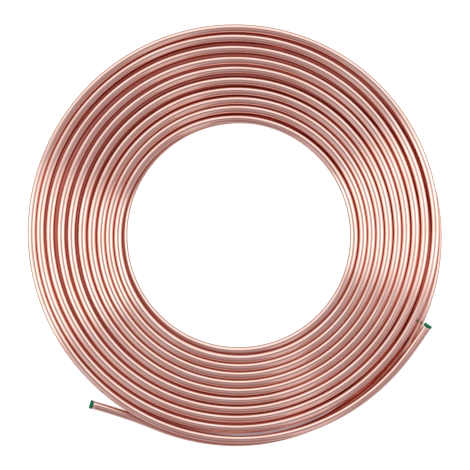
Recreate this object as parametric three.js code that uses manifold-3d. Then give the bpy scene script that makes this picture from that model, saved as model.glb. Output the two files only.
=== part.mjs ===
// A coil of soft copper tube, as it is sold: one tube wound into a flat coil of two layers.
//
// The winding starts at the free end of the lower layer, at the outside. It spirals in to the
// bore, climbs there onto the turns already laid, and spirals out again to the other free end.
// Each end is closed by a plastic plug. Millimetres, +Z up, the coil lying flat on z = 0.

import * as THREE from 'three';
import { mergeVertices } from 'three/addons/utils/BufferGeometryUtils.js';
import Module from 'manifold-3d';

// ---- Driving dimensions -------------------------------------------------------------------

// The tube
const TUBE_OUTSIDE = 6.35;            // a quarter-inch tube
const TUBE_WALL = 0.762;

// The winding. Turns are counted from the +X axis, where the tube has just climbed onto the upper
// layer: the count is below zero in the lower layer and above zero in the upper one.
const COIL_BORE_RADIUS = 87.14;       // clear radius inside the innermost turn
const LOWER_TURNS = 10.317;
const UPPER_TURNS = 9.901;
const LOWER_TURN_GAP = 0.41;          // between the two innermost turns of a layer
const UPPER_TURN_GAP = 0.12;
const LOWER_GAP_GROWTH = 0.12;        // added to that gap with each turn outwards
const UPPER_GAP_GROWTH = 0.19;
const LAYER_CLEARANCE = 0.05;         // between the crowns of one layer and the tube on them

// Between the two spirals the tube runs round the bore at an even radius and climbs
const LOWER_SPIRAL_END = -0.43;
const UPPER_SPIRAL_START = -0.25;
const SPIRAL_EASE_TURNS = 0.1;        // over which a spiral leaves that radius
const CLIMB_START = -0.725;
const CLIMB_END = 0.075;

// How a coil slackens: each turn slides off the one inside it, the upper ones further and further
const LOWER_SLIDE = 0.452;            // per turn
const LOWER_SLIDE_HEADING = 179.5;    // degrees from +X
const UPPER_SLIDE = 0.19;
const UPPER_SLIDE_GROWTH = 0.112;
const UPPER_SLIDE_HEADING = 122.5;

// The ends spring out, the lower one bowing out a little behind an end that was pressed in
const LOWER_END_SPRING = -1.7;
const LOWER_END_SPRING_TURNS = 0.16;
const LOWER_END_BOW = 0.75;
const LOWER_END_BOW_TURNS = 0.64;
const UPPER_END_SPRING = 4;
const UPPER_END_SPRING_TURNS = 0.36;

// The turned body that joins the turns and the two layers, out of sight between them
const BODY_SETBACK = 2.5;             // of its edges, behind the centre lines of the edge turns

// The free ends, which leave the coil almost straight
const LOWER_TAIL = 50.3;
const LOWER_TAIL_BEND = 7;            // degrees to the left on the way out, over the whole tail
const UPPER_TAIL = 27.7;
const UPPER_TAIL_BEND = 3.7;
const TAIL_FLOOR_CLEARANCE = 0.1;     // under the head of the lower plug

// The plugs
const PLUG_HEAD_DIAMETER = 6.9;
const PLUG_HEAD_LENGTH = 2.7;
const PLUG_HEAD_ROUND = 0.5;
const PLUG_STEM_LENGTH = 9;
const PLUG_CLEARANCE = 0.3;           // all round the stem, and between the head and the mouth
const MOUTH_DEPTH_SPARE = 3;          // open bore left beyond the end of the stem

// How finely the round forms are cut into flats
const TUBE_SIDES = 8;
const STEPS_PER_TURN = 40;
const TAIL_STEPS = 3;
const BORE_SIDES = 16;
const PLUG_SIDES = 24;

// ---- Sizes that follow --------------------------------------------------------------------

const tubeRadius = TUBE_OUTSIDE / 2;
const tubeBoreRadius = tubeRadius - TUBE_WALL;
const layerStep = TUBE_OUTSIDE + LAYER_CLEARANCE;
const innermostRadius = COIL_BORE_RADIUS + tubeRadius;
const lowerPitch = TUBE_OUTSIDE + LOWER_TURN_GAP;
const upperPitch = TUBE_OUTSIDE + UPPER_TURN_GAP;
const lowerSlideHeading = THREE.MathUtils.degToRad(LOWER_SLIDE_HEADING);
const upperSlideHeading = THREE.MathUtils.degToRad(UPPER_SLIDE_HEADING);
const mouthDepth = PLUG_STEM_LENGTH + MOUTH_DEPTH_SPARE;

// ---- The centre line of the tube ----------------------------------------------------------

// A straight slope with a parabola at its foot, so that it starts level
function easedSlope(turns) {
  if (turns <= 0) return 0;
  if (turns < SPIRAL_EASE_TURNS) return turns * turns / (2 * SPIRAL_EASE_TURNS);
  return turns - SPIRAL_EASE_TURNS / 2;
}

// How far an end has sprung out, by the turns left before that end: all of it at the end itself
function endSpring(amount, turns, turnsToEnd) {
  return amount * (1 - THREE.MathUtils.smoothstep(turnsToEnd, 0, turns));
}

// How far a stretch before an end bows out: nothing at the end, most in the middle of the stretch
function endBow(amount, turns, turnsToEnd) {
  return amount * Math.sin(Math.PI * THREE.MathUtils.clamp(turnsToEnd / turns, 0, 1)) ** 2;
}

// The radius of the winding at a turn count: one spiral in, an even stretch, and one spiral out
function turnRadius(turn) {
  const inwards = lowerPitch * easedSlope(LOWER_SPIRAL_END - turn)
    + LOWER_GAP_GROWTH * Math.min(0, turn) ** 2 / 2
    + endSpring(LOWER_END_SPRING, LOWER_END_SPRING_TURNS, turn + LOWER_TURNS)
    + endBow(LOWER_END_BOW, LOWER_END_BOW_TURNS, turn + LOWER_TURNS);
  const outwards = upperPitch * easedSlope(turn - UPPER_SPIRAL_START)
    + UPPER_GAP_GROWTH * Math.max(0, turn) ** 2 / 2
    + endSpring(UPPER_END_SPRING, UPPER_END_SPRING_TURNS, UPPER_TURNS - turn);
  return innermostRadius + inwards + outwards;
}

// How far a turn has slid sideways, as the part of that slide along its own radius
function slideAt(turn, angle) {
  if (turn < 0) return LOWER_SLIDE * -turn * Math.cos(angle - lowerSlideHeading);
  const slide = UPPER_SLIDE * turn + UPPER_SLIDE_GROWTH * turn ** 2 / 2;
  return slide * Math.cos(angle - upperSlideHeading);
}

// The point of the winding at a turn count
function windingPoint(turn) {
  const angle = 2 * Math.PI * turn;
  const radius = turnRadius(turn) + slideAt(turn, angle);
  const climb = THREE.MathUtils.smoothstep(turn, CLIMB_START, CLIMB_END);
  return new THREE.Vector3(
    radius * Math.cos(angle),
    radius * Math.sin(angle),
    tubeRadius + layerStep * climb,
  );
}

// The direction in which the winding leaves the coil at one of its ends
function leavingDirection(turn, outwards) {
  const nudge = 1e-4;
  return windingPoint(turn).sub(windingPoint(turn - outwards * nudge)).normalize();
}

// A free end as a short run of points on a shallow arc, from the coil to the mouth of the tube.
// It climbs evenly by lift. The bend is positive to the left of the way out.
function tailPoints(root, heading, length, bend, lift) {
  const points = [root];
  const stepLength = length / TAIL_STEPS;
  for (let step = 0; step < TAIL_STEPS; step += 1) {
    const turned = THREE.MathUtils.degToRad(bend * (step + 0.5) / TAIL_STEPS);
    const along = heading.clone().applyAxisAngle(new THREE.Vector3(0, 0, 1), turned);
    along.multiplyScalar(stepLength);
    along.z += lift / TAIL_STEPS;
    points.push(points[step].clone().add(along));
  }
  return points;
}

// The lower plug's head is wider than the tube, so that tail lifts to keep it off the floor
const plugLift = Math.max(0, PLUG_HEAD_DIAMETER / 2 + TAIL_FLOOR_CLEARANCE - tubeRadius);
const lowerTail = tailPoints(
  windingPoint(-LOWER_TURNS), leavingDirection(-LOWER_TURNS, -1), LOWER_TAIL, LOWER_TAIL_BEND, plugLift,
);
const upperTail = tailPoints(
  windingPoint(UPPER_TURNS), leavingDirection(UPPER_TURNS, 1), UPPER_TAIL, UPPER_TAIL_BEND, 0,
);

// Where a tail ends, and the direction in which its mouth looks
function mouthOf(tail) {
  const [before, end] = tail.slice(-2);
  return { end, out: end.clone().sub(before).normalize() };
}

const lowerMouth = mouthOf(lowerTail);
const upperMouth = mouthOf(upperTail);

// The whole line: tail, winding, tail. The steps of the winding fall at the same angles on
// every turn, so that neighbouring turns keep their gap.
class TubeLine extends THREE.Curve {
  constructor() {
    super();
    const leastStep = 0.25;           // between the root of a tail and the next step
    const first = Math.ceil(-LOWER_TURNS * STEPS_PER_TURN + leastStep);
    const last = Math.floor(UPPER_TURNS * STEPS_PER_TURN - leastStep);
    const winding = [];
    for (let step = first; step <= last; step += 1) {
      winding.push(windingPoint(step / STEPS_PER_TURN));
    }
    this.points = [...lowerTail.toReversed(), ...winding, ...upperTail];
    this.steps = this.points.length - 1;
  }

  getPoint(t) {
    const place = THREE.MathUtils.clamp(t, 0, 1) * this.steps;
    const index = Math.min(Math.floor(place), this.steps - 1);
    return this.points[index].clone().lerp(this.points[index + 1], place - index);
  }

  // Equal steps of t, and not of length
  getUtoTmapping(u) {
    return u;
  }

  // Halfway in direction between the two stretches that meet at a point
  getTangent(t) {
    const index = Math.round(THREE.MathUtils.clamp(t, 0, 1) * this.steps);
    const before = this.points[Math.max(index - 1, 0)];
    const after = this.points[Math.min(index + 1, this.steps)];
    const here = this.points[index];
    const arriving = here.clone().sub(before).normalize();
    const leaving = after.clone().sub(here).normalize();
    return arriving.add(leaving).normalize();
  }
}

// ---- Shapes -------------------------------------------------------------------------------

// A round section as a polygon with a flat on each side, as wide across the flats as the circle
function flattedCircle(radius, sides) {
  const corner = radius / Math.cos(Math.PI / sides);
  const points = [];
  for (let side = 0; side < sides; side += 1) {
    const angle = 2 * Math.PI * (side + 0.5) / sides;
    points.push(new THREE.Vector2(corner * Math.cos(angle), corner * Math.sin(angle)));
  }
  return new THREE.Shape(points);
}

// The tube as one sweep from mouth to mouth, still solid
function sweptTube() {
  const line = new TubeLine();
  return new THREE.ExtrudeGeometry(flattedCircle(tubeRadius, TUBE_SIDES), {
    steps: line.steps,
    extrudePath: line,
    curveSegments: 1,
  });
}

// A closed turned shape about +Z, from its outline of [radius, z] pairs with the bottom first
function turned(outline, sides) {
  const points = outline.map(([radius, z]) => new THREE.Vector2(radius, z));
  return new THREE.LatheGeometry(points, sides).rotateX(Math.PI / 2);
}

// The body of the coil, a ring from the centre lines of the lower turns up to those of the upper
// turns. Its bore and its rim stay hidden behind the innermost and the outermost full turns.
function turnedBody() {
  const inner = innermostRadius + BODY_SETBACK;
  const fullTurns = Math.min(turnRadius(1 - LOWER_TURNS), turnRadius(UPPER_TURNS - 1));
  const outer = fullTurns - BODY_SETBACK;
  const bottom = tubeRadius;
  const top = tubeRadius + layerStep;
  const outline = [[inner, bottom], [outer, bottom], [outer, top], [inner, top], [inner, bottom]];
  return turned(outline, STEPS_PER_TURN);
}

// ---- Joining and cutting ------------------------------------------------------------------

const wasm = await Module();
wasm.setup();

// A geometry as a solid, and a solid as a geometry
function solidFrom(geometry) {
  const bare = geometry.clone();
  bare.deleteAttribute('normal');
  bare.deleteAttribute('uv');
  const merged = mergeVertices(bare, 1e-4);
  return new wasm.Manifold(new wasm.Mesh({
    numProp: 3,
    vertProperties: new Float32Array(merged.attributes.position.array),
    triVerts: new Uint32Array(merged.index.array),
  }));
}

function geometryFrom(solid) {
  const mesh = solid.getMesh();
  const geometry = new THREE.BufferGeometry();
  geometry.setAttribute('position', new THREE.BufferAttribute(mesh.vertProperties, 3));
  geometry.setIndex(new THREE.BufferAttribute(mesh.triVerts, 1));
  geometry.computeVertexNormals();
  return geometry;
}

// ---- The copper tube ----------------------------------------------------------------------

// Takes a shape made along +Z from the origin to a mouth, with +Z pointing out of the tube
function placementAt({ end, out }) {
  const turn = new THREE.Quaternion().setFromUnitVectors(new THREE.Vector3(0, 0, 1), out);
  return new THREE.Matrix4().compose(end, turn, new THREE.Vector3(1, 1, 1));
}

// The open bore at a free end, reaching a little way out of the mouth
function mouthBore(mouth) {
  const reach = TUBE_WALL;
  const bore = turned([
    [0, -mouthDepth],
    [tubeBoreRadius, -mouthDepth],
    [tubeBoreRadius, reach],
    [0, reach],
  ], BORE_SIDES);
  return bore.applyMatrix4(placementAt(mouth));
}

const brightCopper = new THREE.MeshStandardMaterial({ color: 0xc98a72, roughness: 0.2, metalness: 1 });

// The sweep and the turned body as one solid, open at its two mouths
function copperTube() {
  const coiled = solidFrom(sweptTube()).add(solidFrom(turnedBody()));
  const opened = coiled
    .subtract(solidFrom(mouthBore(lowerMouth)))
    .subtract(solidFrom(mouthBore(upperMouth)));
  const mesh = new THREE.Mesh(geometryFrom(opened), brightCopper);
  mesh.name = 'copper_tube';
  return mesh;
}

// ---- The end plugs ------------------------------------------------------------------------

const greenPlastic = new THREE.MeshStandardMaterial({ color: 0x12704a, roughness: 0.4, metalness: 0 });

// A stem that fits the bore and a head a little wider than the tube, with a rounded rim
function endPlug(name, mouth) {
  const stem = tubeBoreRadius - PLUG_CLEARANCE;
  const head = PLUG_HEAD_DIAMETER / 2;
  const under = PLUG_CLEARANCE;
  const top = under + PLUG_HEAD_LENGTH;
  const geometry = turned([
    [0, -PLUG_STEM_LENGTH],
    [stem - PLUG_HEAD_ROUND, -PLUG_STEM_LENGTH],
    [stem, -PLUG_STEM_LENGTH + PLUG_HEAD_ROUND],
    [stem, under],
    [head, under],
    [head, top - PLUG_HEAD_ROUND],
    [head - PLUG_HEAD_ROUND, top],
    [0, top],
  ], PLUG_SIDES);
  const mesh = new THREE.Mesh(geometryFrom(solidFrom(geometry)), greenPlastic);
  mesh.applyMatrix4(placementAt(mouth));
  mesh.name = name;
  return mesh;
}

// ---- The object ---------------------------------------------------------------------------

// The origin is the middle of the coil's footprint, on the floor it lies on
const coil = new THREE.Group();
coil.add(copperTube());
coil.add(endPlug('end_plug_lower', lowerMouth));
coil.add(endPlug('end_plug_upper', upperMouth));
const footprint = new THREE.Box3().setFromObject(coil, true);
const middle = footprint.getCenter(new THREE.Vector3());
coil.position.set(-middle.x, -middle.y, 0);

export default coil;
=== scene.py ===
# %% [markdown]
# # A coil of soft copper tube
#
# One length of quarter-inch copper tube, wound flat in two layers as the mill sells it, with a
# green plug in each end. Copper is a mirror with a colour, so this scene is mostly two things: a
# centre line that lays every turn where a real one lies, and a studio for the metal to reflect.
#
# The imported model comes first, as a fixed frame. It is in metres, with +Z up, and the coil lies
# on z = 0. Its two plugs already have their true shape, so they only get a material. Its tube is
# coarse, so a rounder one is made here along the same centre line and stands in its place.

import bpy
import numpy as np
from mathutils import Matrix, Vector


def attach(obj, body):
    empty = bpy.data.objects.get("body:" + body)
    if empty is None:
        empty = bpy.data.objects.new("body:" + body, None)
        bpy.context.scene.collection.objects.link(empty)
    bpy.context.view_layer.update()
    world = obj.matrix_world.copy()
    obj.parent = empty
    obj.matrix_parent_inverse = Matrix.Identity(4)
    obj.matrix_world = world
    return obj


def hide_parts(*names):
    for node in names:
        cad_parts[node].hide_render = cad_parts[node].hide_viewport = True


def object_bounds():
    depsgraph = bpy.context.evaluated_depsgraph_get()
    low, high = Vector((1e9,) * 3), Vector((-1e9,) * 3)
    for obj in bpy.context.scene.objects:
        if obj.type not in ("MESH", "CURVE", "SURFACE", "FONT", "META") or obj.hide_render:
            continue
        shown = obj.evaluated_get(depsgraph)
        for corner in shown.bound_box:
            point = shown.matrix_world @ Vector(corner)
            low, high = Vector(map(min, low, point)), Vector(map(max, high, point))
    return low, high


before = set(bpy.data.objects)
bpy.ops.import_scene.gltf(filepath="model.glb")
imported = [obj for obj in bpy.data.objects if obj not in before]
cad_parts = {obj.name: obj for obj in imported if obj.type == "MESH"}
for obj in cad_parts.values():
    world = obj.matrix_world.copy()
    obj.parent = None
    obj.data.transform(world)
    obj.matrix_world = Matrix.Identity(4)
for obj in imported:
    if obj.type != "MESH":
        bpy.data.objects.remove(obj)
cad_low, cad_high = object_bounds()
MM = 0.001
print("nodes:", sorted(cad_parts))
print("packed box, mm:", [round(extent / MM, 2) for extent in cad_high - cad_low])

# %% [markdown]
# ## The tube and its centre line
#
# A mill winds a soft tube on a drum: the first layer spirals in to the drum, the tube climbs over
# itself, and the second layer spirals out on top. It could be a curve object with a bevel, but a
# formula can be changed, measured and checked for turns that touch. One count of turns tells the
# whole story, so every shape below is a function of `turn`: below zero in the lower layer, above
# zero in the upper one, with a whole number each time the tube crosses the +X axis.

# %% Sizes of the tube and its winding, in millimetres and turns
TUBE_OUTSIDE = 6.35
TUBE_WALL = 0.762
COIL_BORE_RADIUS = 87.14
LOWER_TURNS, UPPER_TURNS = 10.317, 9.901
LOWER_TURN_GAP, UPPER_TURN_GAP = 0.41, 0.12       # between the two innermost turns of a layer
LOWER_GAP_GROWTH, UPPER_GAP_GROWTH = 0.12, 0.19   # added to that gap with each turn outwards
LAYER_CLEARANCE = 0.05
LOWER_SPIRAL_END, UPPER_SPIRAL_START = -0.43, -0.25
SPIRAL_EASE_TURNS = 0.1
CLIMB_START, CLIMB_END = -0.725, 0.075
LOWER_SLIDE, LOWER_SLIDE_HEADING = 0.452, np.radians(179.5)
UPPER_SLIDE, UPPER_SLIDE_GROWTH, UPPER_SLIDE_HEADING = 0.19, 0.112, np.radians(122.5)
LOWER_END_SPRING, LOWER_END_SPRING_TURNS = -1.7, 0.16
LOWER_END_BOW, LOWER_END_BOW_TURNS = 0.75, 0.64
UPPER_END_SPRING, UPPER_END_SPRING_TURNS = 4.0, 0.36
COIL_AXIS = np.array([4.2583, -1.7729, 0.0])      # the origin is the middle of the footprint

tube_radius = TUBE_OUTSIDE / 2
bore_radius = tube_radius - TUBE_WALL
innermost_radius = COIL_BORE_RADIUS + tube_radius
print("radius of the innermost turn's centre line, mm:", round(innermost_radius, 2))

# %% Curves that come in gently


def smoothstep(x, start, end):
    """3t^2 - 2t^3, where t is how far x has come from start to end, from 0 to 1."""
    t = np.clip((x - start) / (end - start), 0, 1)
    return t * t * (3 - 2 * t)


def eased_slope(turns):
    """A straight slope with a parabola at its foot, so that it starts level."""
    foot = turns**2 / (2 * SPIRAL_EASE_TURNS)
    slope = np.where(turns < SPIRAL_EASE_TURNS, foot, turns - SPIRAL_EASE_TURNS / 2)
    return np.where(turns <= 0, 0, slope)


def end_spring(amount, turns, turns_to_end):
    """How far a free end has sprung out: all of it at the end, none of it that many turns before."""
    return amount * (1 - smoothstep(turns_to_end, 0, turns))


def end_bow(amount, turns, turns_to_end):
    """amount x sin^2: a stretch before the end that bows out, most in its middle."""
    return amount * np.sin(np.pi * np.clip(turns_to_end / turns, 0, 1)) ** 2


# %% [markdown]
# Soft tube never lies quite even: here and there a turn stands a little out or in, over a third of
# a turn or so. Noise would push neighbours into each other, so each of these slight bows is set by
# itself, and the least gap between two turns is printed further down.

# %% Slight bows: the turn at the middle, how many turns it reaches either way, and mm outwards
BOWS = np.array([
    (-10.25, 0.067, 0.5), (-10.17, 0.147, 0.3), (-9.217, 0.1, 0.75), (-9.08, 0.25, 1.75),
    (-8.08, 0.3, 1.0),
    (0.14, 0.34, -1.25), (2.42, 0.32, -0.7), (3.45, 0.42, -0.6), (4.6, 0.35, -0.6),
    (5.22, 0.25, 0.65), (5.92, 0.3, -0.35), (6.94, 0.25, -0.35), (7.42, 0.22, 0.4),
    (8.5, 0.28, -0.45), (8.88, 0.34, 0.8), (9.43, 0.38, -2.95)])


def bows(turn):
    """Sum over the bows of amount x cos^2(90 deg x distance from the middle / reach)."""
    middle, reach, amount = BOWS.T
    away = np.clip(np.abs(np.subtract.outer(turn, middle)) / reach, 0, 1)
    return (amount * np.cos(np.pi / 2 * away) ** 2).sum(-1)


print("bows:", len(BOWS), "from", BOWS[:, 2].min(), "to", BOWS[:, 2].max(), "mm")

# %% The winding, as points for any turns


def winding(turn):
    """Centre points of the winding. Radius = innermost turn + a spiral in + a spiral out
    + gaps that grow outwards + the ends that sprung + the sideways slide of a layer + the bows;
    height = one radius, and one layer more after the climb."""
    angle = 2 * np.pi * turn
    below, above = np.maximum(-turn, 0), np.maximum(turn, 0)
    inwards = (TUBE_OUTSIDE + LOWER_TURN_GAP) * eased_slope(LOWER_SPIRAL_END - turn)
    outwards = (TUBE_OUTSIDE + UPPER_TURN_GAP) * eased_slope(turn - UPPER_SPIRAL_START)
    growth = LOWER_GAP_GROWTH * below**2 / 2 + UPPER_GAP_GROWTH * above**2 / 2
    springs = end_spring(LOWER_END_SPRING, LOWER_END_SPRING_TURNS, turn + LOWER_TURNS)
    springs = springs + end_bow(LOWER_END_BOW, LOWER_END_BOW_TURNS, turn + LOWER_TURNS)
    springs = springs + end_spring(UPPER_END_SPRING, UPPER_END_SPRING_TURNS, UPPER_TURNS - turn)
    slide = LOWER_SLIDE * below * np.cos(angle - LOWER_SLIDE_HEADING)
    upper_slide = UPPER_SLIDE * above + UPPER_SLIDE_GROWTH * above**2 / 2
    slide = slide + upper_slide * np.cos(angle - UPPER_SLIDE_HEADING)
    radius = innermost_radius + inwards + outwards + growth + springs + slide + bows(turn)
    layer = (TUBE_OUTSIDE + LAYER_CLEARANCE) * smoothstep(turn, CLIMB_START, CLIMB_END)
    return np.stack([radius * np.cos(angle), radius * np.sin(angle), tube_radius + layer], -1)


inner_and_outer = winding(np.array([0.0, 9.0]))[:, :2]
print("radius at turns 0 and 9, mm:", np.round(np.hypot(*inner_and_outer.T), 1))

# %% [markdown]
# ## The free ends
#
# Someone has pulled both ends a little off the coil, so they leave it almost straight. Points on
# a drawn curve would do, but the plugs have to meet the mouths exactly. So each end is a shallow
# arc that starts in the direction in which the winding ends, with a set length and bend, and the
# lower one lifts a hair so that its wider plug clears the floor.

# %% The two tails, as arcs from the root to the mouth
LOWER_TAIL, LOWER_TAIL_BEND = 50.3, np.radians(7)
UPPER_TAIL, UPPER_TAIL_BEND = 27.7, np.radians(3.7)
TAIL_FLOOR_CLEARANCE = 0.1
PLUG_HEAD_DIAMETER = 6.9
TAIL_STATIONS = 16

plug_lift = max(0, PLUG_HEAD_DIAMETER / 2 + TAIL_FLOOR_CLEARANCE - tube_radius)


def tail(end_turn, outwards, length, bend, lift):
    """Points of an arc: the heading turns evenly by bend over the length, the steps are summed,
    and the height rises by lift times a smoothstep. Outwards is the sign of the turns' count."""
    nudge = 1e-4    # turns
    root, before = winding(np.array([end_turn, end_turn - outwards * nudge]))
    heading = np.arctan2(*(root - before)[1::-1])
    share = (np.arange(TAIL_STATIONS) + 0.5) / TAIL_STATIONS
    step = length / TAIL_STATIONS
    turned = heading + bend * share
    run = np.cumsum(np.stack([np.cos(turned), np.sin(turned)], -1) * step, axis=0)
    rise = lift * smoothstep(np.arange(1, TAIL_STATIONS + 1) / TAIL_STATIONS, 0, 1)
    return root + np.column_stack([run, rise])


lower_tail = tail(-LOWER_TURNS, -1, LOWER_TAIL, LOWER_TAIL_BEND, plug_lift)
upper_tail = tail(UPPER_TURNS, 1, UPPER_TAIL, UPPER_TAIL_BEND, 0)
mouth_places = np.array([lower_tail[-1], upper_tail[-1]]) + COIL_AXIS
print("mouths, mm:", mouth_places.round(2).tolist())

# %% [markdown]
# The whole tube is now one line, from the lower mouth to the upper one. Its length, direction and
# count of turns are kept beside it, so that any shape below can look them up at a `station`, which
# is a length along the tube.

# %% The whole centre line, mouth to mouth
STEPS_PER_TURN = 144    # each step is 2.5 degrees: the polygon strays 0.04 mm from the curve

turns = np.arange(-LOWER_TURNS, UPPER_TURNS, 1 / STEPS_PER_TURN)
turns = np.append(turns, UPPER_TURNS)
line = np.vstack([lower_tail[::-1], winding(turns), upper_tail]) + COIL_AXIS
turn_of_line = np.pad(turns, TAIL_STATIONS, mode="edge")
line_length = np.append(0, np.cumsum(np.linalg.norm(np.diff(line, axis=0), axis=1)))
line_direction = np.gradient(line, line_length, axis=0)
print("length of tube, m:", round(line_length[-1] * MM, 3))

# %% [markdown]
# ## A profile carried along the line
#
# A drawn tube is a circle carried along its own length. A curve's bevel would make the outside,
# but not a wall with a rounded lip at each mouth. So the tube is one grid: stations along the line
# by points around it, with each ring drawn in the plane across the tube. At an end the ring
# shrinks over the lip, runs back inside as the bore, and closes in a pole, so the skin has no
# edge. A ring starts underneath, where nobody looks for a seam.
#
# Each point also keeps its place on the tube as if the tube were pulled straight. The drawing
# lines in the finish follow that place, so they run along every turn.

# %% Helpers that carry a ring along a line and skin it
SIDES = 32


def rings(station, radius, sides=SIDES):
    """Points = centre + radius x (cos a x sideways + sin a x upwards), with the centre and the
    direction read off the line at each station. The second grid holds the same points with the
    tube straight: (radius x cos a, radius x sin a, station)."""
    centre = np.column_stack([np.interp(station, line_length, line[:, k]) for k in range(3)])
    along = np.column_stack([np.interp(station, line_length, line_direction[:, k]) for k in range(3)])
    along /= np.linalg.norm(along, axis=1, keepdims=True)
    sideways = np.cross(along, [0, 0, 1])
    sideways /= np.linalg.norm(sideways, axis=1, keepdims=True)
    upwards = np.cross(sideways, along)
    angle = 2 * np.pi * np.arange(sides) / sides - np.pi / 2
    ring = sideways[:, None] * np.cos(angle)[:, None] + upwards[:, None] * np.sin(angle)[:, None]
    straight = np.stack(np.broadcast_arrays(
        radius[:, None] * np.cos(angle), radius[:, None] * np.sin(angle), station[:, None]), -1)
    return centre[:, None] + radius[:, None, None] * ring, straight


def skin(name, points, attributes):
    """A closed mesh from a grid whose first and last rows are poles: a fan, bands of quads round
    and round, and a fan. Each attribute has three numbers for each point of the same grid."""
    rows, sides = points.shape[:2]
    band = np.arange(1, (rows - 2) * sides + 1).reshape(rows - 2, sides)
    after = np.roll(band, -1, axis=1)
    quads = np.stack([band[:-1], after[:-1], after[1:], band[1:]], -1).reshape(-1, 4)
    first, last = 0, (rows - 2) * sides + 1
    start = np.stack([np.full(sides, first), after[0], band[0]], -1)
    finish = np.stack([np.full(sides, last), band[-1], after[-1]], -1)

    def flat(grid):
        return np.vstack([grid[0, :1], grid[1:-1].reshape(-1, 3), grid[-1, :1]])

    mesh = bpy.data.meshes.new(name)
    mesh.from_pydata(flat(points) * MM, [], quads.tolist() + start.tolist() + finish.tolist())
    mesh.shade_smooth()
    for label, grid in attributes.items():
        layer = mesh.attributes.new(label, "FLOAT_VECTOR", "POINT")
        layer.data.foreach_set("vector", flat(grid).astype(np.float32).ravel())
    piece = bpy.data.objects.new(name, mesh)
    bpy.context.scene.collection.objects.link(piece)
    return piece


# %% [markdown]
# The tube was cut with a wheel and its edge broken, so each mouth has a small round lip and an
# open bore behind it. The bore goes 12 mm deep, which is past the plug's stem.

# %% The tube itself
LIP_ROUND = 0.12
MOUTH_DEPTH = 12.0
LIP_STEPS = 4

# One mouth as pairs of depth and radius, from the pole inside, along the bore, over the lip
lip = np.linspace(0, np.pi / 2, LIP_STEPS)
inner_lip = np.column_stack([1 - np.sin(lip), 1 - np.cos(lip)]) * LIP_ROUND + [0, bore_radius]
outer_lip = np.column_stack([1 - np.cos(lip), np.sin(lip) - 1]) * LIP_ROUND + [0, tube_radius]
mouth = np.vstack([[MOUTH_DEPTH, 0], [MOUTH_DEPTH, bore_radius], inner_lip, outer_lip])

total = line_length[-1]
END_CLEAR = 1.0         # mm at each end without a ring, so that none comes too near the lip
body = line_length[(line_length > END_CLEAR) & (line_length < total - END_CLEAR)]
station = np.concatenate([mouth[:, 0], body, total - mouth[::-1, 0]])
radius = np.concatenate([mouth[:, 1], np.full(len(body), tube_radius), mouth[::-1, 1]])
points, straight = rings(station, radius)
middles = points.mean(axis=1)
own_turn = np.interp(station, line_length, turn_of_line)
print("rings:", len(station), "of", SIDES, "points")

# %% [markdown]
# ## How shut in each point is
#
# Light that gets in between two turns is thrown to and fro many times before it comes out, and
# each bounce on copper makes it redder. A renderer that stops after a few bounces shows those gaps
# black. More bounces would cost minutes. So each point of the skin is told how near the next turn is,
# which takes one distance for each turn that passes there, and the finish paints that bounced light
# into the copper's colour as a redder tone.

# %% The gap from each point to the nearest other turn
FAR_OFF = 99.0          # mm, where there is no other turn
ALL_TURNS = range(-11, 11)


def gap_to_others(points, own_turn):
    """The gap in mm: in the plane through the coil's axis at the point's own heading, the least of
    |point - centre of a turn| - tube radius over all the turns there, apart from its own."""
    middle = points.mean(axis=1) - COIL_AXIS
    heading = np.arctan2(middle[:, 1], middle[:, 0]) / (2 * np.pi)
    place = points - COIL_AXIS
    across, up = np.hypot(place[..., 0], place[..., 1]), place[..., 2]
    nearest = np.full(across.shape, FAR_OFF)
    for whole in ALL_TURNS:
        other = heading + whole
        there = (other > -LOWER_TURNS) & (other < UPPER_TURNS) & (np.abs(other - own_turn) > 0.5)
        centre = winding(np.clip(other, -LOWER_TURNS, UPPER_TURNS))
        centre_across = np.hypot(centre[:, 0], centre[:, 1])
        gap = np.hypot(across - centre_across[:, None], up - centre[:, 2:]) - tube_radius
        nearest = np.where(there[:, None], np.minimum(nearest, gap), nearest)
    return nearest


gap = gap_to_others(points, own_turn)
print("least gap between two turns, mm:", gap.min().round(3))

# %% [markdown]
# Two places are shut in: the flanks of two turns that lie side by side, from the line where they
# stop facing up, and a turn of the lower layer under the upper one. There the colour is painted
# redder, as painted bounce light, and the shading leans straight up, which is where the light comes
# from in the end.
#
# Under the upper end, which sprang out, the layer opens like a window. The crown of a lower turn
# there gets a painted sheen: its colour is painted pale, as if daylight fell in on it. That stretch
# isn't redder, and its shading leans a little inwards, to where the room is brighter.

# %% Where the skin is shut in, and where the layer opens
FLANK_GAP = (2.8, 0.3)            # mm to the next turn: where a side starts to be shut in, and is
FLANK_FACING = (0.44, 0.08)       # how far it faces up: 1 is straight up, 0 is sideways
BURIED_GAP = (3.6, 0.9)           # the same for a turn of the lower layer, under the upper one
BURIED_HEIGHT = (8.5, 5.5)        # mm, centre of the tube: above the first it is in the upper layer
BURIED_FACING = (-0.1, 0.5)
WINDOW_OPENS = (-9.30, -9.255)    # turns
WINDOW_CLOSES = (-9.145, -9.20)
WINDOW_FACING = (0.55, 0.9)
WINDOW_TILT = 0.21                # how far inwards the shading leans, for each 1 upwards
CREVICE_LIFT = 0.8                # how much of the shading leans where the skin is fully shut in,
WINDOW_LIFT = 0.95                # and in the middle of the window

facing_up = straight[..., 1] / tube_radius
height = middles[:, 2:]
flank = smoothstep(gap, *FLANK_GAP) * smoothstep(facing_up, *FLANK_FACING)
buried = smoothstep(gap, *BURIED_GAP) * smoothstep(height, *BURIED_HEIGHT)
buried *= smoothstep(facing_up, *BURIED_FACING)
window = smoothstep(own_turn, *WINDOW_OPENS) * smoothstep(own_turn, *WINDOW_CLOSES)
window = window[:, None] * smoothstep(facing_up, *WINDOW_FACING)
# Where the skin is shut in, the copper's colour gets painted bounce light, a redder tone; in the window it
# gets a painted sheen instead
shut_in = np.maximum(flank, buried) * (1 - window)
leaning = np.maximum(CREVICE_LIFT * shut_in, WINDOW_LIFT * window)

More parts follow.
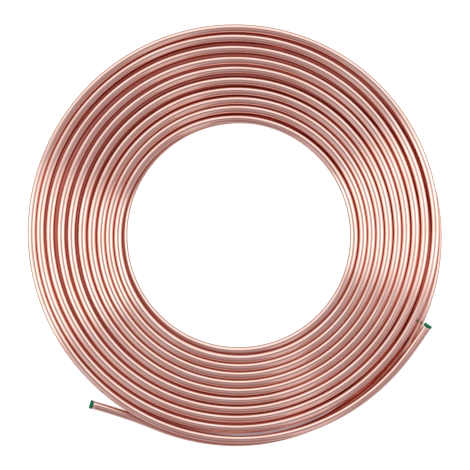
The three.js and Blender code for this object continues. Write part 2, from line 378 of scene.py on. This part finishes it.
away_from_axis = (middles - COIL_AXIS) * [1, 1, 0]
away_from_axis /= np.linalg.norm(away_from_axis, axis=1, keepdims=True)
lean = [0, 0, 1] - WINDOW_TILT * window[..., None] * away_from_axis[:, None]
print("shut in, percent of the points:", round(100 * float((shut_in > 0.5).mean())))

# %% The tube as one closed mesh
# The third attribute carries the painted light: how much bounce red is painted on, how far the shading leans,
# and how much painted sheen
tube = skin("copper_tube_coil", points, {
    "straightened": straight * MM,
    "painted_light": np.stack([shut_in, leaning, window], -1),
    "lean": lean})
corners = len(tube.data.vertices)
print("tube:", corners, "vertices,", 2 * corners - 4, "triangles")

# %% [markdown]
# ## Materials
#
# Colours are written as hex, the way a paint chart gives them, and turned to linear light once.
# One small function adds a node with its settings and its links, so each finish below reads as a
# list of steps.

# %% Helpers for materials
# Sockets by number. Mix: i0 is the share; colours go in at i6 and i7 and come out at 2, vectors go
# in at i4 and i5 and come out at 1. Map Range: i0 is the value, i1 and i2 the range that it comes
# from, i3 and i4 the one that it goes to, and 0 to 1 is what it takes where nothing is said.
COLOUR_MIX = {"data_type": "RGBA"}
VECTOR_MIX = {"data_type": "VECTOR"}


def linear(hex_colour):
    """Linear RGBA of an sRGB hex colour: below 0.04045 divide by 12.92, above it
    ((c + 0.055) / 1.055) to the power 2.4."""
    c = np.array([int(hex_colour[k:k + 2], 16) for k in (1, 3, 5)]) / 255
    c = np.where(c <= 0.04045, c / 12.92, ((c + 0.055) / 1.055) ** 2.4)
    return (*c.tolist(), 1.0)


def new_material(name):
    """An empty node material and its tree."""
    material = bpy.data.materials.new(name)
    material.use_nodes = True
    material.node_tree.nodes.clear()
    return material, material.node_tree


def add(tree, kind, settings=None, **links):
    """Adds a node. Settings are node properties; links are inputs, by name or by i0, i1, ...,
    and each is a value or another node's output."""
    node = tree.nodes.new(kind)
    for key, value in (settings or {}).items():
        setattr(node, key, value)
    for key, value in links.items():
        by_number = key[0] == "i" and key[1:].isdigit()
        socket = node.inputs[int(key[1:]) if by_number else key.replace("_", " ")]
        if isinstance(value, bpy.types.NodeSocket):
            tree.links.new(value, socket)
        else:
            socket.default_value = value
    return node


# %% [markdown]
# ### Bright drawn copper
#
# The tube is phosphorus-deoxidised copper, drawn through a die, annealed in a clean furnace and
# hardly touched since. It could be one metal colour with one roughness, but then it looks like
# plastic chrome. What the eye gets from the real skin is three things: sharp bright lines, since
# it is almost a mirror; a faint silk along the tube, from the lines that the die leaves; and a
# tone that shifts a little over a hand's width. The edge of the tube reflects a warmer colour.

# %% Copper
CLEAN, WARM = "#FAD9CF", "#F6CBBD"    # two tones of the clean metal
PAINTED_BOUNCE_RED = "#BE4630"                   # painted bounce light: the red of light thrown back many times
PAINTED_SHEEN = "#FFF6F8"                  # painted sheen on the crown that the open layer lets the light in on
EDGE = "#E0A090"                      # what the metal reflects where it is seen edge on
DIE_LINE = 0.8 * MM          # a real line is finer: this is as fine as still shows from afar
DIE_LINE_LENGTH = 250 * MM   # each line runs on for about this far
DIE_LINE_DEPTH = 0.009 * MM
PATCH = 28 * MM              # tarnish and handling change the tone about as often as this
PATCH_RANGE = (0.35, 0.7)    # of the noise, from all clean to all warm
LINE_RANGE = (0.3, 0.7)      # of the noise, from the polished to the dull lines
ROUGHNESS = (0.06, 0.12)     # of a polished and a dull line

copper, tree = new_material("Copper tube, drawn bright and annealed")
place = add(tree, "ShaderNodeAttribute", {"attribute_name": "straightened"}).outputs["Vector"]
drawn = add(tree, "ShaderNodeVectorMath", {"operation": "MULTIPLY"}, i0=place,
            i1=(1 / DIE_LINE, 1 / DIE_LINE, 1 / DIE_LINE_LENGTH)).outputs[0]
lines = add(tree, "ShaderNodeTexNoise", Vector=drawn, Scale=1.0, Detail=2.0).outputs[0]
patches = add(tree, "ShaderNodeTexNoise", Vector=place, Scale=1 / PATCH, Detail=3.0).outputs[0]
share = add(tree, "ShaderNodeMapRange", i0=patches, i1=PATCH_RANGE[0], i2=PATCH_RANGE[1]).outputs[0]
colour = add(tree, "ShaderNodeMix", COLOUR_MIX, i0=share, i6=linear(CLEAN), i7=linear(WARM)).outputs[2]
polish = add(tree, "ShaderNodeMapRange", i0=lines, i1=LINE_RANGE[0], i2=LINE_RANGE[1],
             i3=ROUGHNESS[0], i4=ROUGHNESS[1]).outputs[0]
relief = add(tree, "ShaderNodeBump", Strength=1.0, Distance=DIE_LINE_DEPTH, Height=lines).outputs[0]

# %% [markdown]
# The three numbers that each point carries come in here. The first paints the metal redder, as
# painted bounce light, the third paints it paler, as a painted sheen, and the second says how far its
# shading leans towards `lean`.

# %% Copper between the turns: painted bounce light and a painted sheen
carried = add(tree, "ShaderNodeAttribute", {"attribute_name": "painted_light"}).outputs["Vector"]
carried = add(tree, "ShaderNodeSeparateXYZ", i0=carried).outputs
towards_light = add(tree, "ShaderNodeAttribute", {"attribute_name": "lean"}).outputs["Vector"]
# Painted sheen: the crown in the window is painted paler
colour = add(tree, "ShaderNodeMix", COLOUR_MIX, i0=carried["Z"], i6=colour, i7=linear(PAINTED_SHEEN)).outputs[2]
# Painted bounce light: the gaps between the turns are painted redder
colour = add(tree, "ShaderNodeMix", COLOUR_MIX, i0=carried["X"], i6=colour, i7=linear(PAINTED_BOUNCE_RED)).outputs[2]
facing = add(tree, "ShaderNodeMix", VECTOR_MIX, i0=carried["Y"], i4=relief, i5=towards_light).outputs[1]
facing = add(tree, "ShaderNodeVectorMath", {"operation": "NORMALIZE"}, i0=facing).outputs[0]
shader = add(tree, "ShaderNodeBsdfPrincipled", Base_Color=colour, Metallic=1.0, Roughness=polish,
             Specular_Tint=linear(EDGE), Normal=facing)
add(tree, "ShaderNodeOutputMaterial", Surface=shader.outputs["BSDF"])
tube.data.materials.append(copper)
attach(tube, "root")
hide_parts("copper_tube")
print("copper:", len(tree.nodes), "nodes")

# %% [markdown]
# ### Green plugs
#
# Each end is shut by a soft polyethylene plug, moulded in one piece and coloured all through. Its
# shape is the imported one. What the eye gets from it is a deep even green with a dull, waxy shine,
# a little cloudy where the plastic flowed, and the fine grain of the mould.

# %% Green plugs
PLUG_GREEN, PLUG_DEEP = "#007A4A", "#00603A"
PLUG_ROUGHNESS = (0.38, 0.55)
PLUG_SHINE = 0.3
MOULD_GRAIN = 0.35 * MM
MOULD_GRAIN_DEPTH = 0.02 * MM
FLOW = 3 * MM                # the colour is not quite even, about this far apart

plastic, tree = new_material("Polyethylene, moulded green")
on_plug = add(tree, "ShaderNodeTexCoord").outputs["Object"]
grain = add(tree, "ShaderNodeTexNoise", Vector=on_plug, Scale=1 / MOULD_GRAIN, Detail=2.0).outputs[0]
flow = add(tree, "ShaderNodeTexNoise", Vector=on_plug, Scale=1 / FLOW, Detail=2.0).outputs[0]
green = add(tree, "ShaderNodeMix", COLOUR_MIX, i0=flow, i6=linear(PLUG_GREEN), i7=linear(PLUG_DEEP))
waxy = add(tree, "ShaderNodeMapRange", i0=grain, i3=PLUG_ROUGHNESS[0], i4=PLUG_ROUGHNESS[1])
relief = add(tree, "ShaderNodeBump", Strength=1.0, Distance=MOULD_GRAIN_DEPTH, Height=grain)
shader = add(tree, "ShaderNodeBsdfPrincipled", Base_Color=green.outputs[2],
             Roughness=waxy.outputs[0], Specular_IOR_Level=PLUG_SHINE, Normal=relief.outputs[0])
add(tree, "ShaderNodeOutputMaterial", Surface=shader.outputs["BSDF"])
for node in ("end_plug_lower", "end_plug_upper"):
    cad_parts[node].data.materials.clear()
    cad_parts[node].data.materials.append(plastic)
print("plugs:", len(tree.nodes), "nodes")

# %% [markdown]
# ## The floor
#
# The coil lies on white studio paper that is lit so well that it shows as pure white. Strong lamps
# would do that, but they would burn out the copper too. So the paper glows a little by itself for
# the camera, less in the metal's reflections, and not at all as a lamp, and it keeps the coil's
# shadow.

# %% Floor
FLOOR_SIDE = 8.0

floor_mesh = bpy.data.meshes.new("studio_floor")
floor_corners = np.array([(-1, -1, 0), (1, -1, 0), (1, 1, 0), (-1, 1, 0)]) * FLOOR_SIDE / 2
floor_mesh.from_pydata(floor_corners, [], [(0, 1, 2, 3)])
floor = bpy.data.objects.new("studio_floor", floor_mesh)
bpy.context.scene.collection.objects.link(floor)
print("floor, m:", FLOOR_SIDE)

# %% [markdown]
# Under the coil white paper would shine up through the gaps, where a real floor only gets light
# that came off copper. So that ring of it is painted shade: brick red, with a faint painted red glow.
# It ends inside the coil's outline, so none of it shows beside the coil.

# %% The paper
COVERED_FROM, COVERED_TO = 0.0915, 0.159                              # m from the coil's axis
# Under the coil the paper is painted shade, brick red, and glows a faint painted red
PAPER, PAPER_PAINTED_SHADE = (0.5, 0.5, 0.5, 1), (0.5, 0.08, 0.055, 1)      # linear
WHITE = (1, 1, 1, 1)
GLOW, GLOW_PAINTED_RED = WHITE, (0.22, 0.03, 0.02, 1)
GLOW_SEEN, GLOW_MIRRORED = 0.9, 0.18                                  # 1 is white

paper, tree = new_material("White studio paper")
on_floor = add(tree, "ShaderNodeTexCoord").outputs["Object"]
from_axis = add(tree, "ShaderNodeVectorMath", {"operation": "DISTANCE"}, i0=on_floor,
                i1=tuple(COIL_AXIS * MM)).outputs["Value"]
inside = add(tree, "ShaderNodeMath", {"operation": "LESS_THAN"}, i0=from_axis, i1=COVERED_FROM)
outside = add(tree, "ShaderNodeMath", {"operation": "GREATER_THAN"}, i0=from_axis, i1=COVERED_TO)
open_floor = add(tree, "ShaderNodeMath", {"operation": "MAXIMUM"}, i0=inside.outputs[0],
                 i1=outside.outputs[0]).outputs[0]
ray = add(tree, "ShaderNodeLightPath").outputs
mirrored = add(tree, "ShaderNodeMath", {"operation": "ADD"}, i0=ray["Is Glossy Ray"],
               i1=ray["Is Transmission Ray"]).outputs[0]
glow = add(tree, "ShaderNodeMath", {"operation": "MULTIPLY"}, i0=mirrored, i1=GLOW_MIRRORED).outputs[0]
glow = add(tree, "ShaderNodeMath", {"operation": "MULTIPLY_ADD"}, i0=ray["Is Camera Ray"],
           i1=GLOW_SEEN, i2=glow).outputs[0]
# The ring under the coil gets the painted red shade and the painted red glow
tint = add(tree, "ShaderNodeMix", COLOUR_MIX, i0=open_floor, i6=PAPER_PAINTED_SHADE, i7=PAPER).outputs[2]
glow_tint = add(tree, "ShaderNodeMix", COLOUR_MIX, i0=open_floor, i6=GLOW_PAINTED_RED, i7=GLOW).outputs[2]
lit = add(tree, "ShaderNodeBsdfDiffuse", Color=tint).outputs[0]
shine = add(tree, "ShaderNodeEmission", Color=glow_tint, Strength=glow).outputs[0]
both = add(tree, "ShaderNodeAddShader", i0=lit, i1=shine).outputs[0]
add(tree, "ShaderNodeOutputMaterial", Surface=both)
floor_mesh.materials.append(paper)
print("paper:", len(tree.nodes), "nodes")

# %% [markdown]
# ## The room
#
# What a mirror looks like is what stands round it. The coil lies between two tall white screens,
# at its left and right, with a lit wall beyond it and a dim room on the near side. A picture of a
# studio could be wrapped round the scene, but a few named patches can be moved and dimmed one by
# one. Seen in the metal, a screen is bright in the middle and fades out at its sides and towards
# the ceiling. So each one is a patch of the sky: full over some headings, fading over some more,
# and rising with the angle from straight up. Where patches overlap, the brightest one shows.

# %% Screens, walls and ceiling
DIM_ROOM = 0.2
# Heading of the middle from +X, half width and fade, then the angle from straight up where the
# patch starts and where it is full, all in degrees, and last its brightness
SCREENS = {
    "right screen": (9, 8, 30, -14, 42, 1.58),
    "left screen": (187, 12, 24, -14, 42, 1.55),
    "left screen's spill": (200, 4, 52, -10, 25, 0.64),
    "far wall": (80, 42, 84, -10, 46, 1.25),
    "near right corner": (323, 24, 34, -20, 10, 0.33),
    "ceiling": (240, 60, 110, 50, 5, 0.42),
}
# The dim parts of the room are warm, the lit ones a cool white: brightness and linear colour
ROOM_TONES = [(0.0, (0.16, 0.0, 0.0)), (0.8, (0.8, 0.8, 0.82)), (1.6, (1.46, 1.6, 1.6))]
ROOM_SCALE = 1.6             # a colour ramp holds 0 to 1, so the room is made this much darker in it
SMOOTH = {"interpolation_type": "SMOOTHSTEP"}


def cosine(degrees):
    return float(np.cos(np.radians(degrees)))


# %% The world: the brightest patch in each direction
world = bpy.data.worlds.new("studio")
bpy.context.scene.world = world
world.use_nodes = True
tree = world.node_tree
tree.nodes.clear()
towards = add(tree, "ShaderNodeTexCoord").outputs["Generated"]
level_part = add(tree, "ShaderNodeVectorMath", {"operation": "MULTIPLY"}, i0=towards, i1=(1, 1, 0)).outputs[0]
heading = add(tree, "ShaderNodeVectorMath", {"operation": "NORMALIZE"}, i0=level_part).outputs[0]
up = add(tree, "ShaderNodeSeparateXYZ", i0=towards).outputs["Z"]
brightest = DIM_ROOM
for middle, half_width, fade, start, full, brightness in SCREENS.values():
    turned = np.radians(middle)
    beside = add(tree, "ShaderNodeVectorMath", {"operation": "DOT_PRODUCT"}, i0=heading,
                 i1=(float(np.cos(turned)), float(np.sin(turned)), 0.0)).outputs["Value"]
    across = add(tree, "ShaderNodeMapRange", SMOOTH, i0=beside, i1=cosine(half_width + fade),
                 i2=cosine(half_width)).outputs[0]
    # A patch that starts on the far side of straight up is part of the way up where it passes it
    top = 2 - cosine(start) if start < 0 else cosine(start)
    down = add(tree, "ShaderNodeMapRange", SMOOTH, i0=up, i1=top, i2=cosine(full)).outputs[0]
    patch = add(tree, "ShaderNodeMath", {"operation": "MULTIPLY"}, i0=across, i1=down).outputs[0]
    patch = add(tree, "ShaderNodeMath", {"operation": "MULTIPLY_ADD"}, i0=patch,
                i1=brightness - DIM_ROOM, i2=DIM_ROOM).outputs[0]
    brightest = add(tree, "ShaderNodeMath", {"operation": "MAXIMUM"}, i0=patch, i1=brightest).outputs[0]
print("room:", ", ".join(SCREENS))

# %% Its tones, and plain white for the camera
scaled = add(tree, "ShaderNodeMath", {"operation": "DIVIDE"}, i0=brightest, i1=ROOM_SCALE).outputs[0]
ramp = add(tree, "ShaderNodeValToRGB", i0=scaled)
while len(ramp.color_ramp.elements) < len(ROOM_TONES):
    ramp.color_ramp.elements.new(position=0.5)
for element, (level, tone) in zip(ramp.color_ramp.elements, ROOM_TONES):
    element.position = level / ROOM_SCALE
    element.color = (*(channel / ROOM_SCALE for channel in tone), 1)
room = add(tree, "ShaderNodeBackground", Color=ramp.outputs["Color"], Strength=ROOM_SCALE).outputs[0]
backdrop = add(tree, "ShaderNodeBackground", Color=WHITE, Strength=1.0).outputs[0]
ray = add(tree, "ShaderNodeLightPath").outputs
sky = add(tree, "ShaderNodeMixShader", i0=ray["Is Camera Ray"], i1=room, i2=backdrop).outputs[0]
add(tree, "ShaderNodeOutputWorld", Surface=sky)
print("world:", len(tree.nodes), "nodes")

# %% [markdown]
# ## Lamps
#
# The room gives nearly all the light, and area lamps add what a patch of sky can't. A tall softbox
# on the near side draws a thin glint on the turns. The top of the tent is close by: a turn near one
# of its walls sees that wall high up, and a turn on the other side of the coil sees it low down.
# One sheet for each wall would show a hard edge in the metal, so each wall is a few weak ones, one
# over the other. The metal reflects them all, and their light adds up to a soft edge.

# %% The softbox
LAMP_DISTANCE = 2.5
# Four angles in degrees, and how bright each part of it looks
GLINT = {"heading": 291, "tilt": 50, "width": 12, "height": 60, "radiance": 0.3}


def area_lamp(name, width, length, radiance):
    """A rectangular lamp that the camera doesn't see. Power = pi x area x radiance."""
    lamp = bpy.data.lights.new(name, "AREA")
    lamp.shape = "RECTANGLE"
    lamp.size, lamp.size_y = width, length
    lamp.energy = np.pi * width * length * radiance
    holder = bpy.data.objects.new(name, lamp)
    holder.visible_camera = False
    bpy.context.scene.collection.objects.link(holder)
    return holder


def softbox(name, heading, tilt, width, height, radiance):
    """A lamp on a sphere round the coil, facing its middle. Heading is the side it stands on, from
    +X; tilt is its angle from straight up; width and height are how wide it looks from the coil,
    so each side = 2 x distance x tan(half of it)."""
    heading, tilt = np.radians([heading, tilt])
    away = np.array([np.sin(tilt) * np.cos(heading), np.sin(tilt) * np.sin(heading), np.cos(tilt)])
    across = np.array([-np.sin(heading), np.cos(heading), 0])
    sides = 2 * LAMP_DISTANCE * np.tan(np.radians([width / 2, height / 2]))
    turn = Matrix(np.column_stack([across, np.cross(away, across), away]).tolist()).to_4x4()
    place = Matrix.Translation(Vector(away) * LAMP_DISTANCE) @ turn
    area_lamp(name, *sides, radiance).matrix_world = place


softbox("glint_lamp", **GLINT)
print("softbox, m away:", LAMP_DISTANCE)

# %% The tent's walls
TENT_HEIGHT = 0.155
TENT_FAR = 0.42                                                      # m, the outer edge
SHEETS = ((0.085, 0.08), (0.11, 0.14), (0.14, 0.20), (0.17, 0.28))   # m, inner edge and length
SHEET_RADIANCE = {"right": (1, 0.26), "left": (-1, 0.18)}            # sign of X, and radiance

for label, (towards_x, radiance) in SHEET_RADIANCE.items():
    for near, length in SHEETS:
        sheet = area_lamp(f"tent_{label}_{round(near / MM)}", TENT_FAR - near, length, radiance)
        sheet.location = (towards_x * (near + TENT_FAR) / 2, 0, TENT_HEIGHT)
print("lamps:", len(bpy.data.lights))

# %% [markdown]
# ## The camera
#
# It looks straight down on the coil from well above, so that the near turns hardly look bigger
# than the far ones. Its lens follows from the width that it has to take in at the coil's top.

# %% Camera
VIEW_WIDTH = 0.36895
VIEW_CENTRE = (0.00143, -0.00075)
VIEW_HEIGHT = 2.5
SENSOR = 36.0                # mm

camera_data = bpy.data.cameras.new("camera")
camera_data.sensor_width = SENSOR
camera_data.lens = SENSOR * (VIEW_HEIGHT - cad_high.z) / VIEW_WIDTH
camera_data.clip_start, camera_data.clip_end = 0.05, 20.0
camera = bpy.data.objects.new("camera", camera_data)
camera.location = (*VIEW_CENTRE, VIEW_HEIGHT)
bpy.context.scene.collection.objects.link(camera)
bpy.context.scene.camera = camera
print("lens, mm:", round(camera_data.lens, 1))

# %% [markdown]
# ## Finish
#
# The plain view transform leaves each colour about as it is written.

# %% Finish
bpy.context.scene.view_settings.view_transform = "Standard"
